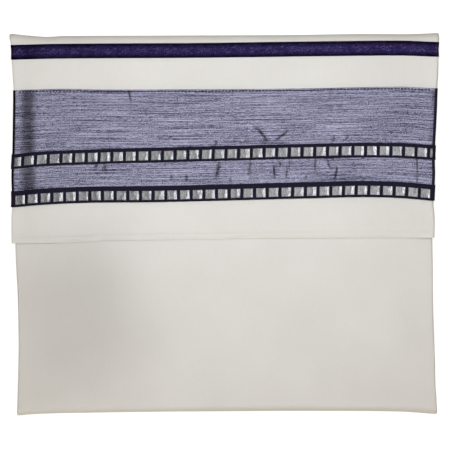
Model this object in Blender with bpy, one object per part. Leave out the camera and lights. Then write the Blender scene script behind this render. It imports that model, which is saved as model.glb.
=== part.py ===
"""A prayer shawl folded into a flat pack, with its striped end turned over on top.

The cloth is folded in thirds along its length, so each layer of the pack has a rounded fold down both sides.
It is then wrapped end over end: the striped end is the flap on top, it turns down round the pack's north
end, and the front panel comes up round the south end. Seen from above, +Y is north and +X is east. Sizes
are in millimetres, the meshes are in metres, and the origin is at the middle of the underside.
"""

from collections import namedtuple
from math import asin, copysign, cos, hypot, pi, radians, sin, sqrt

import bmesh
import bpy

MM = 0.001

# Thicknesses and levels
LAYER = 3.5
LAYERS_UNDER_FLAP = 5
CLOTH = 1.25
TRIM = 1.0
GAP = 0.3
PACK_TOP = LAYER * LAYERS_UNDER_FLAP
FLAP_RISE = 4.2
HEM_SETTLE = 1.1
HEM_SETTLE_LENGTH = 30.0

# The rounded fold down each side, and the turns round the two ends
FOLD_REACH = 1.7
FOLD_ANGLES = (180, 135, 90, 45, 0)
TRIM_FOLD_ANGLES = (120, 90, 45, 0)
PANEL_FOLD = 3.4
FOLD_INNER_INSETS = (2.6, 3.4, 4.2, 5.0, 5.8)
FOLD_INNER_SHARES = (1.0, 1.0, 0.7, 0.3, 0.0)
NORTH_TURN = 7.5
SOUTH_TURN = 6.5
TURN_ANGLES = (0, 20, 40, 60, 80, 100, 120, 140, 160, 180)
TURN_FOOT = 1.0
LAYER_ROOM = 3.8

# The soft crown of the pack and its sunk south-west part
CROWN = 1.0
HALF_WIDTH = 184.0
HALF_DEPTH = 164.0
SAG = 1.4
SAG_EAST, SAG_WEST = -100.0, -180.0
SAG_NORTH, SAG_SOUTH = -30.0, -120.0

# The thirds tucked inside the flap end short of its sides, so its top steps down there
WEST_STEP, WEST_STEP_START, WEST_STEP_END = 1.3, -173.7, -164.3
EAST_STEP, EAST_STEP_START, EAST_STEP_END = 0.6, 162.0, 168.0
TUCKED_WEST, TUCKED_EAST = -166.6, 162.5
TUCKED_HEM_INSET = 1.5
TUCKED_ROUNDING = 0.6

# The ribbons, and the silver squares woven into two of them
RIBBON_WIDTH = 12.7
LOWER_RIBBON_WIDTH = 13.2
LOWER_BORDER = 1.7
SILK_UNDER_RIBBON = 0.6
SQUARE_PITCH = 10.9
SQUARE_WIDTH = 8.3
SQUARE_HEIGHT = 7.9
SQUARE_BEVEL = 0.7
SQUARE_RAISE = 0.35
SQUARES_WEST, SQUARES_EAST = -178.4, 176.5
UPPER_FIRST_SQUARE, LOWER_FIRST_SQUARE = -182.9, -180.2

Edge = namedtuple("Edge", "place reach")

# Each side seen from above: how far the edge reaches at a place along it
NORTH_EDGE = (
    Edge(-184, 163.8), Edge(-169, 162.4), Edge(-152, 160.9), Edge(-140, 161.8), Edge(-55, 162.5),
    Edge(48, 162.6), Edge(116, 163.4), Edge(184, 164.0),
)
SOUTH_EDGE = (
    Edge(-180, -164.0), Edge(-168, -163.1), Edge(-140, -162.0), Edge(-55, -160.6), Edge(60, -159.8),
    Edge(150, -160.5), Edge(182, -162.6),
)
FLAP_HEM = (
    Edge(-183, -16.3), Edge(-127, -15.3), Edge(-106, -13.9), Edge(0, -12.3), Edge(65, -11.5),
    Edge(180, -11.3),
)
FLAP_WEST = (
    Edge(-17, -182.4), Edge(14, -180.8), Edge(60, -180.4), Edge(112, -180.4), Edge(141, -181.6),
    Edge(157, -182.4), Edge(164, -183.8),
)
FLAP_EAST = (
    Edge(-17, 179.1), Edge(14, 178.2), Edge(60, 179.2), Edge(112, 181.0), Edge(141, 181.8), Edge(157, 182.4),
    Edge(164, 183.8),
)
PANEL_WEST = (
    Edge(-164, -178.4), Edge(-106, -177.1), Edge(-65, -177.9), Edge(-18, -179.7), Edge(60, -178.6),
    Edge(164, -180.6),
)
PANEL_EAST = (
    Edge(-164, 182.4), Edge(-106, 180.4), Edge(-65, 179.1), Edge(-18, 178.6), Edge(60, 177.2),
    Edge(164, 181.0),
)

# The upper edges of the trims, and the lowest edge of the last one
NAVY_TOP = (
    Edge(-180, 154.2), Edge(-141, 155.1), Edge(-21, 155.8), Edge(82, 157.1), Edge(150, 157.7),
    Edge(180, 156.7),
)
SILK_TOP = (
    Edge(-180, 115.2), Edge(-141, 116.5), Edge(-90, 115.8), Edge(48, 116.6), Edge(150, 118.3),
    Edge(180, 117.0),
)
UPPER_SQUARES_TOP = (
    Edge(-181, 60.1), Edge(-154, 62.6), Edge(-107, 64.1), Edge(0, 66.9), Edge(108, 69.5), Edge(150, 69.3),
    Edge(180, 67.0),
)
LOWER_SQUARES_FOOT = (
    Edge(-181, 14.8), Edge(-154, 17.1), Edge(-115, 18.8), Edge(-55, 19.3), Edge(82, 22.8), Edge(118, 23.6),
    Edge(150, 22.8), Edge(180, 20.3),
)

# The layers below the front panel: how far each one's side folds lie inside the panel's
Layer = namedtuple("Layer", "low high west east")
LAYERS = (
    Layer(0.0, 3.25, 0.8, 1.0),
    Layer(3.75, 6.8, 1.6, 0.5),
    Layer(7.2, 10.3, 0.4, 1.4),
    Layer(10.7, 13.75, 1.2, 0.6),
)
LAYER_ANGLES = (-90, -50, 0, 50, 90)
GROOVE_INSET = 4.2
GROOVE_END_INSET = 1.5
CORE_SIDE_INSET = 6.9

# Lines along each piece, between its side folds, and lines across as shares of its length
PLAIN_COLUMNS = tuple(range(-150, 151, 25))
FLAP_COLUMNS = (-173.7, -171.4, -169.0, -166.6, -164.3) + PLAIN_COLUMNS + (160, 162, 164, 166, 168)
PANEL_COLUMNS = (-168, -160) + PLAIN_COLUMNS + (160, 168)
FLAP_SHARES = (0, 0.05, 0.11, 0.17, 0.33, 0.5, 0.67, 0.83)
PANEL_ROWS = 9
LAYER_ROWS = 12
SILK_ROWS = 5

COLORS = {
    "ivory": (0.80, 0.78, 0.73),
    "silk": (0.24, 0.24, 0.33),
    "navy": (0.020, 0.014, 0.055),
    "silver": (0.10, 0.10, 0.14),
}


def follow(table, place):
    """The reach beside a place in a table, on a smooth curve through its rows."""
    place = min(max(place, table[0].place), table[-1].place)
    start = max(k for k in range(len(table) - 1) if table[k].place <= place)

    def slope(k):
        before, after = table[max(k - 1, 0)], table[min(k + 1, len(table) - 1)]
        return (after.reach - before.reach) / (after.place - before.place)

    here, there = table[start], table[start + 1]
    span = there.place - here.place
    t = (place - here.place) / span
    return (
        (1 + 2 * t) * (1 - t) ** 2 * here.reach
        + t * (1 - t) ** 2 * span * slope(start)
        + t * t * (3 - 2 * t) * there.reach
        + t * t * (t - 1) * span * slope(start + 1)
    )


def ease(value, start, end):
    """0 at start and 1 at end, levelling off at both."""
    t = min(max((value - start) / (end - start), 0.0), 1.0)
    return t * t * (3 - 2 * t)


def panel_top(x, y):
    """Height of the front panel's outer face."""
    crown = CROWN * (1 - min(abs(x) / HALF_WIDTH, 1) ** 2) * (1 - min(abs(y) / HALF_DEPTH, 1) ** 2)
    return PACK_TOP + crown - SAG * ease(x, SAG_EAST, SAG_WEST) * ease(y, SAG_NORTH, SAG_SOUTH)


def flap_top(x, y):
    """Height of the flap's outer face."""
    hem = follow(FLAP_HEM, x)
    west = WEST_STEP * (1 - ease(x, WEST_STEP_START, WEST_STEP_END))
    east = EAST_STEP * ease(x, EAST_STEP_START, EAST_STEP_END)
    settle = HEM_SETTLE * (1 - ease(y, hem, hem + HEM_SETTLE_LENGTH))
    return panel_top(x, y) + FLAP_RISE - settle - west - east


def ellipse_normal(half, reach, turn):
    """The unit normal of a half ellipse at a turn from its top: how far it leans out, and how far up."""
    if turn in (0.0, pi):
        return 0.0, cos(turn)
    length = hypot(half * sin(turn), reach * cos(turn))
    return copysign(half, reach) * sin(turn) / length, abs(reach) * cos(turn) / length


Line = namedtuple("Line", "y turn reach")
SideFold = namedtuple("SideFold", "side angle")
WEST, EAST = -1, 1


class Band:
    """A layer of cloth that shows: a rounded fold down each side, and a turn round one or both ends.

    Its points lie where two lines cross. One is an x, or a SideFold, whose angle is 0 on top and 180 below.
    The other is a function of x that gives a Line: its y, and the turn and reach of the end that it goes
    round. The reach is negative at the south, and the turn is 0 where the band is flat.
    """

    def __init__(self, west, east, top, fold_height):
        self.sides = {WEST: west, EAST: east}
        self.top = top
        self.fold_height = fold_height

    def edge(self, side, line):
        """The outermost x of a side fold, which below a turn's middle runs in to meet the lowest layer's."""
        own = follow(self.sides[side], line.y + line.reach * sin(line.turn))
        lowest = follow(PANEL_WEST, line.y) + LAYERS[0].west
        if side == EAST:
            lowest = follow(PANEL_EAST, line.y) - LAYERS[0].east
        return own + (lowest - own) * ease(line.turn, pi / 2, pi)

    def raised(self, x, x_top, line, rise):
        """The point at x on a line, where the top face above is the one at x_top, moved along its normal."""
        half = self.top(x_top, line.y) / 2
        normal_y, normal_z = ellipse_normal(half, line.reach, line.turn)
        y = line.y + line.reach * sin(line.turn)
        return (x, y + rise * normal_y, half * (1 + cos(line.turn)) + rise * normal_z)

    def outer(self, across, along, lift=0.0):
        """A point of the outer face, moved out by lift."""
        if not isinstance(across, SideFold):
            return self.raised(across, across, along(across), lift)
        side, line = across.side, along(across.side * HALF_WIDTH)
        edge, fold = self.edge(side, line), radians(across.angle)
        x_top = edge - side * FOLD_REACH
        half = self.fold_height(x_top, line.y) / 2
        out, up = ellipse_normal(half, FOLD_REACH, fold)
        x = edge - side * FOLD_REACH * (1 - sin(fold)) + side * lift * out
        return self.raised(x, x_top, line, lift * up - half * (1 - cos(fold)))

    def inner_row(self, columns, along):
        """One line of the inner face, with the thick part inside each side fold."""
        rows = {}
        for side in (WEST, EAST):
            line = along(side * HALF_WIDTH)
            edge = self.edge(side, line)
            height = self.fold_height(edge - side * FOLD_REACH, line.y)
            rows[side] = []
            for inset, share in zip(FOLD_INNER_INSETS, FOLD_INNER_SHARES):
                x = edge - side * inset
                rows[side].append(self.raised(x, x, line, -CLOTH - (height - CLOTH) * share))
        plain = [self.raised(x, x, along(x), -CLOTH) for x in columns]
        return rows[WEST] + plain + rows[EAST][::-1]


def lines_across(columns, angles=FOLD_ANGLES):
    """The side folds' lines and the plain ones between them, from west to east."""
    west = [SideFold(WEST, angle) for angle in angles]
    east = [SideFold(EAST, angle) for angle in reversed(angles)]
    return west + list(columns) + east


def flat_line(south, north, share):
    """A line across at a share of the way from one edge to another."""
    return lambda x: Line(south(x) + share * (north(x) - south(x)), 0.0, 0.0)


def turn_line(start, angle, reach):
    """A line across on an end's turn."""
    return lambda x: Line(start(x), pi if angle == 180 else radians(angle), reach)


def foot_line(start, inward):
    """The last line of a turn, a little way in along the underside."""
    return lambda x: Line(start(x) + inward, pi, 0.0)


def grid_faces(rows, columns, first, flip=False):
    """Quads of a grid of vertices numbered row by row from first."""
    faces = []
    for r in range(rows - 1):
        for c in range(columns - 1):
            a = first + r * columns + c
            face = (a, a + 1, a + 1 + columns, a + columns)
            faces.append(face[::-1] if flip else face)
    return faces


def rim(rows, columns, first):
    """The numbers of a grid's outer vertices, in order round it."""
    south = [first + c for c in range(columns)]
    east = [first + r * columns + columns - 1 for r in range(1, rows)]
    north = [first + (rows - 1) * columns + c for c in range(columns - 2, -1, -1)]
    west = [first + r * columns for r in range(rows - 2, 0, -1)]
    return south + east + north + west


def outermost(grid):
    """A grid's outer points, in order round it."""
    columns = len(grid[0])
    return [grid[k // columns][k % columns] for k in rim(len(grid), columns, 0)]


def bridge(lower, upper):
    """Quads between two closed loops of vertices."""
    count = len(lower)
    return [(lower[k], lower[(k + 1) % count], upper[(k + 1) % count], upper[k]) for k in range(count)]


def wall(outer, inner):
    """A closed wall between two grids of points with the same columns; the inner may have only two rows."""
    columns = len(outer[0])
    points = [p for row in outer for p in row] + [p for row in inner for p in row]
    second = len(outer) * columns
    faces = grid_faces(len(outer), columns, 0) + grid_faces(len(inner), columns, second, flip=True)
    if len(outer) == len(inner):
        faces += bridge(rim(len(inner), columns, second), rim(len(outer), columns, 0))
        return points, faces
    last_outer, last_inner = (len(outer) - 1) * columns, second + (len(inner) - 1) * columns
    for c in range(columns - 1):
        faces.append((c + 1, c, second + c, second + c + 1))
        faces.append((last_outer + c, last_outer + c + 1, last_inner + c + 1, last_inner + c))
    for c in (0, columns - 1):
        end = [r * columns + c for r in range(len(outer))]
        back = [second + r * columns + c for r in reversed(range(len(inner)))]
        faces.append(tuple(end + back) if c == 0 else tuple(reversed(end + back)))
    return points, faces


def stack(lower, rings, upper):
    """A closed solid from a lower grid of points, through closed rings, to an upper grid."""
    rows, columns = len(lower), len(lower[0])
    points = [p for row in lower for p in row]
    loops = [rim(rows, columns, 0)]
    for ring in rings:
        loops.append(list(range(len(points), len(points) + len(ring))))
        points += ring
    first = len(points)
    points += [p for row in upper for p in row]
    loops.append(rim(rows, columns, first))
    faces = grid_faces(rows, columns, 0, flip=True) + grid_faces(rows, columns, first)
    for below, above in zip(loops, loops[1:]):
        faces += bridge(below, above)
    return points, faces


def add_piece(name, solid, color, roughness, metallic=0.0):
    """Make one named object with its own material from points in millimetres."""
    points, faces = solid
    mesh = bpy.data.meshes.new(name)
    mesh.from_pydata([(x * MM, y * MM, z * MM) for x, y, z in points], [], faces)
    work = bmesh.new()
    work.from_mesh(mesh)
    bmesh.ops.recalc_face_normals(work, faces=work.faces)
    bmesh.ops.triangulate(work, faces=work.faces)
    work.to_mesh(mesh)
    work.free()
    material = bpy.data.materials.new(name)
    material.use_nodes = True
    shader = material.node_tree.nodes["Principled BSDF"]
    shader.inputs["Base Color"].default_value = (*COLORS[color], 1.0)
    shader.inputs["Roughness"].default_value = roughness
    shader.inputs["Metallic"].default_value = metallic
    mesh.materials.append(material)
    mesh.shade_smooth()
    mesh.set_sharp_from_angle(angle=radians(35))
    piece = bpy.data.objects.new(name, mesh)
    bpy.context.collection.objects.link(piece)
    return piece


def flap_fold_height(x, y):
    """Height of the fold down the flap's sides."""
    return flap_top(x, y) - panel_top(x, y) - GAP


def panel_fold_height(_x, _y):
    """Height of the fold down the panel's sides."""
    return PANEL_FOLD


FLAP = Band(FLAP_WEST, FLAP_EAST, flap_top, flap_fold_height)
PANEL = Band(PANEL_WEST, PANEL_EAST, panel_top, panel_fold_height)


def north_start(x):
    """Where the flat of the pack ends and the north turn starts."""
    return follow(NORTH_EDGE, x) - NORTH_TURN


def south_start(x):
    """Where the flat of the pack ends and the south turn starts."""
    return follow(SOUTH_EDGE, x) + SOUTH_TURN


def hem(x):
    """The flap's free edge."""
    return follow(FLAP_HEM, x)


def banded_wall(band, columns, lines):
    """The closed wall of a band between its side folds' outer and inner faces."""
    outer = [[band.outer(across, along) for across in lines_across(columns)] for along in lines]
    inner = [band.inner_row(columns, along) for along in lines]
    return wall(outer, inner)


def make_flap():
    """The striped end: flat from its hem to the north end, then down round it to the underside."""
    lines = [flat_line(hem, north_start, share) for share in FLAP_SHARES]
    lines += [turn_line(north_start, angle, NORTH_TURN) for angle in TURN_ANGLES]
    lines.append(foot_line(north_start, -TURN_FOOT))
    add_piece("flap", banded_wall(FLAP, FLAP_COLUMNS, lines), "ivory", 0.85)


def make_front_panel():
    """The plain panel: it starts inside the north turn and comes down round the south end."""
    lines = [turn_line(north_start, TURN_ANGLES[1], NORTH_TURN - LAYER_ROOM)]
    lines += [flat_line(north_start, south_start, row / PANEL_ROWS) for row in range(PANEL_ROWS)]
    lines += [turn_line(south_start, angle, -SOUTH_TURN) for angle in TURN_ANGLES]
    lines.append(foot_line(south_start, TURN_FOOT))
    add_piece("front_panel", banded_wall(PANEL, PANEL_COLUMNS, lines), "ivory", 0.85)


def make_flap_under_layers():
    """The two thirds tucked inside the flap, as one slab that the flap's step shows."""
    columns = [x for x in FLAP_COLUMNS if TUCKED_WEST <= x < TUCKED_EAST] + [TUCKED_EAST]
    shares = FLAP_SHARES + (1,)

    def level(height, rounding):
        """A grid of the slab, drawn in all round by the rounding."""
        rows = []
        for share in shares:
            along = flat_line(hem, north_start, share)
            inset = {0: TUCKED_HEM_INSET + rounding, 1: -rounding}.get(share, 0)
            row = []
            for x in columns:
                y = along(x).y + inset
                drawn_in = {columns[0]: rounding, columns[-1]: -rounding}.get(x, 0)
                row.append((x + drawn_in, y, height(x, y)))
            rows.append(row)
        return rows

    lower = level(lambda x, y: panel_top(x, y) + GAP, TUCKED_ROUNDING)
    upper = level(lambda x, y: flap_top(x, y) - CLOTH - GAP, TUCKED_ROUNDING)
    middle = level(lambda x, y: (panel_top(x, y) + flap_top(x, y) - CLOTH) / 2, 0)
    add_piece("flap_under_layers", stack(lower, [outermost(middle)], upper), "ivory", 0.85)


def end_insets(z):
    """How far inside the north and south ends a level lies, so that the layers nest in the turns."""
    if z <= LAYERS[0].high:
        return NORTH_TURN + TURN_FOOT + 2 * GAP, SOUTH_TURN + TURN_FOOT + 2 * GAP
    low, high = LAYERS[1].low, LAYERS[-1].high
    bulge = sqrt(max(1 - ((z - (low + high) / 2) / ((high - low) / 2)) ** 2, 0.0))
    return NORTH_TURN - (NORTH_TURN - LAYER_ROOM) * bulge, SOUTH_TURN - (SOUTH_TURN - LAYER_ROOM) * bulge


def pack_level(height, west, east, north, south):
    """A grid across the pack at one level, at insets from the panel's sides and from the two ends."""
    rows = []
    for step in range(LAYER_ROWS + 1):
        row = []
        for column in (-HALF_WIDTH,) + PANEL_COLUMNS + (HALF_WIDTH,):
            low, high = follow(SOUTH_EDGE, column) + south, follow(NORTH_EDGE, column) - north
            y = low + step / LAYER_ROWS * (high - low)
            x = column
            if column == -HALF_WIDTH:
                x = follow(PANEL_WEST, y) + west
            elif column == HALF_WIDTH:
                x = follow(PANEL_EAST, y) - east
            row.append((x, y, height(x, y)))
        rows.append(row)
    return rows


def make_hidden_layers():
    """The layers inside the wrap, as one solid whose sides show each layer's rounded fold."""

    def at_height(z):
        """A level that follows the panel's crown and sag in proportion to its height."""
        return lambda x, y: z * panel_top(x, y) / PACK_TOP

    rings = []
    for below, layer in zip((None,) + LAYERS, LAYERS):
        middle, half = (layer.low + layer.high) / 2, (layer.high - layer.low) / 2
        if below:
            ends = [inset + GROOVE_END_INSET for inset in end_insets(LAYERS[0].high + GAP)]
            sides = GROOVE_INSET + layer.west, GROOVE_INSET + layer.east
            rings.append(outermost(pack_level(at_height((below.high + layer.low) / 2), *sides, *ends)))
        for angle in LAYER_ANGLES if below else LAYER_ANGLES[1:]:
            z = middle + half * sin(radians(angle))
            fold = FOLD_REACH * (1 - cos(radians(angle)))
            sides = layer.west + fold, layer.east + fold
            rings.append(outermost(pack_level(at_height(z), *sides, *end_insets(z))))
    core = CORE_SIDE_INSET, CORE_SIDE_INSET, NORTH_TURN + GAP, SOUTH_TURN + GAP
    rings.append(outermost(pack_level(at_height(LAYERS[-1].high), *core)))
    base = LAYERS[0].west + FOLD_REACH, LAYERS[0].east + FOLD_REACH
    lower = pack_level(lambda x, y: 0.0, *base, *end_insets(0.0))
    upper = pack_level(lambda x, y: panel_top(x, y) - CLOTH - GAP, *core)
    add_piece("hidden_layers", stack(lower, rings, upper), "ivory", 0.9)


def trim_line(table, offset):
    """A line across the flap at an offset from a trim's edge, over the north turn's start if need be."""

    def along(x):
        y = follow(table, x) + offset
        start = north_start(x)
        if y <= start:
            return Line(y, 0.0, 0.0)
        return Line(start, asin((y - start) / NORTH_TURN), NORTH_TURN)

    return along


def plain_trim(lines):
    """A trim laid on the flap, which stops partway under each side fold."""
    across = lines_across(FLAP_COLUMNS, TRIM_FOLD_ANGLES)
    outer = [[FLAP.outer(line, along, GAP + TRIM) for line in across] for along in lines]
    inner = [[FLAP.outer(line, along, GAP) for line in across] for along in lines]
    return wall(outer, inner)


def make_silk_band():
    """From just inside the lower ribbon's foot to the silk's own top edge."""
    foot = trim_line(LOWER_SQUARES_FOOT, SILK_UNDER_RIBBON)
    head = trim_line(SILK_TOP, 0.0)
    shares = [row / SILK_ROWS for row in range(SILK_ROWS + 1)]
    lines = [flat_line(lambda x: foot(x).y, lambda x: head(x).y, share) for share in shares]
    add_piece("silk_band", plain_trim(lines), "silk", 0.45)


def make_navy_ribbon():
    """A plain-edged ribbon whose upper edge lies just over the north turn."""
    lines = [trim_line(NAVY_TOP, -RIBBON_WIDTH * share) for share in (1, 0.5, 0.2, 0)]
    add_piece("navy_ribbon", plain_trim(lines), "navy", 0.5)


def make_square_ribbon(name, table, top, width, first_square):
    """A ribbon with a row of raised squares, over a plain inside; top is its upper edge's offset."""
    foot, square_top = top - width, top - width + LOWER_BORDER + SQUARE_HEIGHT
    offsets = (foot, foot + LOWER_BORDER, foot + LOWER_BORDER + SQUARE_BEVEL, square_top - SQUARE_BEVEL,
               square_top, top)
    lines = [trim_line(table, offset) for offset in offsets]
    columns, raised = [], []
    left = first_square
    while left + SQUARE_WIDTH < SQUARES_EAST:
        right = left + SQUARE_WIDTH
        start = max(left, SQUARES_WEST)
        columns += [start, start + SQUARE_BEVEL, right - SQUARE_BEVEL, right]
        raised += [False, True, True, False]
        left += SQUARE_PITCH
    across = lines_across(columns, TRIM_FOLD_ANGLES)
    on_folds = [False] * len(TRIM_FOLD_ANGLES)
    raised = on_folds + raised + on_folds
    lift = GAP + TRIM + GAP
    outer = []
    for number, along in enumerate(lines):
        rise = SQUARE_RAISE if number in (2, 3) else 0.0
        heights = [lift + TRIM + rise * up for up in raised]
        outer.append([FLAP.outer(line, along, height) for line, height in zip(across, heights)])
    inner = [[FLAP.outer(line, along, lift) for line in across] for along in (lines[0], lines[-1])]
    add_piece(name, wall(outer, inner), "silver", 0.4, 0.3)


def main():
    """Clear the scene and make the shawl's pieces, from the inside out."""
    for old in list(bpy.data.objects):
        bpy.data.objects.remove(old, do_unlink=True)
    make_hidden_layers()
    make_front_panel()
    make_flap_under_layers()
    make_flap()
    make_silk_band()
    make_navy_ribbon()
    make_square_ribbon("upper_square_ribbon", UPPER_SQUARES_TOP, 0.0, RIBBON_WIDTH, UPPER_FIRST_SQUARE)
    make_square_ribbon(
        "lower_square_ribbon", LOWER_SQUARES_FOOT, LOWER_RIBBON_WIDTH, LOWER_RIBBON_WIDTH, LOWER_FIRST_SQUARE
    )


main()
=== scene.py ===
"""The looks of a folded prayer shawl: its cloth, silk band, ribbons and stitching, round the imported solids.

Sizes are in millimetres unless a name says otherwise, +Y is north and +X is east, and the meshes are made in
metres. The cloth is one long band, folded in thirds and wrapped end over end: the flap lies on top, turns
down round the north end, runs back along the bottom, comes up round the south end as the front panel, and
goes on inside the pack. Each piece is a stretch of that band, as a thin shell.
"""

from collections import namedtuple
from math import cos, pi, radians, sin

import bpy
import numpy as np
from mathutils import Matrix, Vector


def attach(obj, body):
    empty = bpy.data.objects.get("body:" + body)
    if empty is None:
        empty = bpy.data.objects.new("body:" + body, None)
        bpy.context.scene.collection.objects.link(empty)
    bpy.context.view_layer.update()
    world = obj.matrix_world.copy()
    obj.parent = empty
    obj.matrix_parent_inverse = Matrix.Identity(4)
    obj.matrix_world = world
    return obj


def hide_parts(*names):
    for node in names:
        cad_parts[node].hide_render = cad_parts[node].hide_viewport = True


MM = 0.001

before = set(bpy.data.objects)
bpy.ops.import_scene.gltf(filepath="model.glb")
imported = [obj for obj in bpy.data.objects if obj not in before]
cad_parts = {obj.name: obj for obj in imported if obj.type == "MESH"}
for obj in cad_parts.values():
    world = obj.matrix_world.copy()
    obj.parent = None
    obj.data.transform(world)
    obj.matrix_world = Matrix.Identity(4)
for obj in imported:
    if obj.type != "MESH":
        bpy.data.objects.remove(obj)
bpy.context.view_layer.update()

# Levels and thicknesses of the folded pack
LAYER = 3.5
PACK_TOP = 17.5
FLAP_RISE = 4.2
PLY = 0.6
SILK_THICKNESS = 0.35
# Beyond this, in the cloth's own flat coordinates, where the silk turns down round the side folds, it is
# painted near-black as painted shade of the turn; that border lies a little west
SILK_TURN_SHADE = 183.4
SILK_TURN_SHADE_SHIFT = 0.3
RIBBON_THICKNESS = 0.5
# Heights of the trims' undersides above the cloth
SILK_LIFT = 0.25
NAVY_LIFT = 0.25
SQUARES_LIFT = 0.7
# Towards its hem the flap settles, more so midway, and its last few millimetres roll down onto the panel
HEM_SETTLE, HEM_SETTLE_MIDWAY = 0.9, 0.5
HEM_SETTLE_LENGTH = 30.0
HEM_ROLL, HEM_ROLL_LENGTH = 1.65, 3.4
HEM_WIDTH = 5.0
HEM_THICKER, HEM_STEP_LENGTH = 0.1, 0.9
# How far in from the pack's sides the middle of the hem, and its roll, begin and are full
MIDWAY_FROM, MIDWAY_TO = 22.0, 45.0
ROLL_FROM, ROLL_TO = 5.0, 24.0

# The rounded fold down each side, and the turns round the two ends
FOLD_REACH = 1.7
NORTH_TURN = 7.5
SOUTH_TURN = 6.5
TURN_FOOT = 1.0
MIDDLE_TURN_START = 13.0
MIDDLE_TURN = 7.0
INNER_TURN = 3.3
SOUTH_INNER_START = 8.9
SOUTH_INNER_TURN = 5.0

# The soft crown of the pack and its sunk south-west part
CROWN = 1.0
HALF_WIDTH = 184.0
HALF_DEPTH = 164.0
SAG = 1.4
SAG_EAST, SAG_WEST = -100.0, -180.0
SAG_NORTH, SAG_SOUTH = -30.0, -120.0

# The thirds tucked inside the flap end short of its sides, so its top steps down there
WEST_STEP, WEST_STEP_START, WEST_STEP_END = 1.75, -178.0, -158.4
STEP_WANDER, STEP_WANDER_WAVE = 0.9, 60.0
EAST_CURL, EAST_CURL_START, EAST_CURL_LENGTH = 1.5, 171.0, 10.0
# A fine crease down the east side, sharpest where it crosses the striped end's lower part
EAST_CREASE_X, EAST_CREASE_DEPTH, EAST_CREASE_MORE = 164.2, 0.16, 0.58
EAST_CREASE_Y, EAST_CREASE_LENGTH = 38.0, 28.0
EAST_CREASE_WIDTH, EAST_CREASE_SLOWNESS = 1.3, 12.0
# Long soft swells in the outer cloth
FLAP_WAVE, PANEL_WAVE, SWELL = 120.0, 150.0, 0.35

# The two thirds of the cloth tucked under the flap, the west one lying on the east one
WEST_THIRD_LENGTH = 344.0
EAST_THIRD_LENGTH = 347.0
THIRD_GAP = 0.3
WEST_THIRD_LIFT = 0.85
WEST_THIRD_RISE_START, WEST_THIRD_RISE_END = -174.5, -168.8
TUCKED_HEM_INSET, WEST_HEM_SHORTER = 4.2, 0.6
# Depth of the side folds inside the pack, and the unevenness of it
INNER_DEPTH, INNER_WAVE, INNER_SWELL = 3.0, 50.0, 0.15
BACK_GAP = 0.4
INNER_END = 3.0

# The trims and their stitches, given by pitch and radius
TRIM_WEST, TRIM_EAST = -180.6, 180.0
RIBBON_WIDTH = 12.7
LOWER_RIBBON_WIDTH = 13.9
SQUARE_PITCH = 10.945
SQUARE_WIDTH = 8.35
SQUARE_HEIGHT = 7.9
LOWER_BORDER = 1.95
SQUARE_RAISE, SQUARE_STIFFNESS = 0.75, 0.75
UPPER_FIRST_SQUARE = -183.05
LOWER_FIRST_SQUARE = -179.7
STITCH_REACH = 177.0
HEM_STITCH = (2.6, 0.17)
SILK_STITCH = (2.9, 0.52)
RIBBON_STITCH = (2.4, 0.2)
# How far in from the trims' edges the stitches run
SILK_SEAM, NAVY_SEAM, TOP_SEAM, FOOT_SEAM = 1.7, 0.9, 0.8, 0.6

# The view, straight down with a long lens; places and heights of the studio are in metres
PHOTO_PIXELS, MM_PER_PIXEL = 450, 0.858
VIEW_HEIGHT, VIEW_LEVEL = 5.0, 0.02
VIEW_X, VIEW_Y = 0.0004, -0.0003
SENSOR = 36.0
STUDIO_REACH, FLOOR_LEVEL, BACKDROP_FOOT = 11.0, -0.0002, -0.5
FLAG_RADIUS, FLAG_PLACE = 0.03, (-0.11, -0.045, 0.16)
RING_SIDES = 48

Edge = namedtuple("Edge", "place reach")


def edges(*rows):
    """A table of places along an edge, and how far it reaches at each."""
    return [Edge(*row) for row in rows]


NORTH_EDGE = edges(
    (-184, 164.3), (-169, 162.7), (-152, 161.5), (-140, 162.2), (-55, 162.6), (48, 163), (116, 163.9),
    (158, 163.8), (178, 164.6), (184, 164.9),
)
SOUTH_EDGE = edges(
    (-180, -164.6), (-168, -163.3), (-140, -162.2), (-55, -160.9), (0, -160.6), (60, -160.2),
    (150, -160.8), (182, -162.9),
)
FLAP_HEM = edges(
    (-183, -16.3), (-127, -15.3), (-106, -13.9), (0, -12.3), (65, -11.5), (180, -11.3),
)
FLAP_WEST = edges(
    (-17, -182.9), (4, -183.1), (21, -182.3), (43, -182.6), (60, -181.9), (98, -181.2), (115, -181),
    (128, -181.8), (141, -182.6), (151, -182.7), (162, -185),
)
FLAP_EAST = edges(
    (-17, 180.3), (4, 180.6), (21, 179.4), (43, 180.2), (60, 180), (98, 181.9), (115, 182.5),
    (128, 183.4), (141, 183.8), (151, 183.4), (162, 184.7),
)
PANEL_WEST = edges(
    (-164, -178.4), (-106, -177.1), (-65, -177.9), (-18, -179.7), (60, -178.6), (164, -180.6),
)
PANEL_EAST = edges(
    (-164, 183.1), (-150, 182.2), (-133, 181.1), (-106, 180.4), (-65, 179.2), (-18, 178.9), (60, 177.2),
    (164, 181),
)
NAVY_TOP = edges(
    (-180, 154.2), (-141, 155.1), (-21, 155.8), (82, 157.1), (150, 157.7), (180, 156.7),
)
SILK_TOP = edges(
    (-180, 115.2), (-141, 116.5), (-90, 115.8), (48, 116.6), (150, 118.3), (180, 117),
)
UPPER_SQUARES_TOP = edges(
    (-181, 60.3), (-154, 62.9), (-107, 64.7), (0, 67.5), (108, 70.1), (150, 69.9), (180, 68.1),
)
LOWER_SQUARES_FOOT = edges(
    (-181, 14.8), (-154, 17.1), (-115, 18.8), (-55, 19.3), (82, 22.8), (118, 23.6), (150, 22.8),
    (180, 20.3),
)

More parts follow.
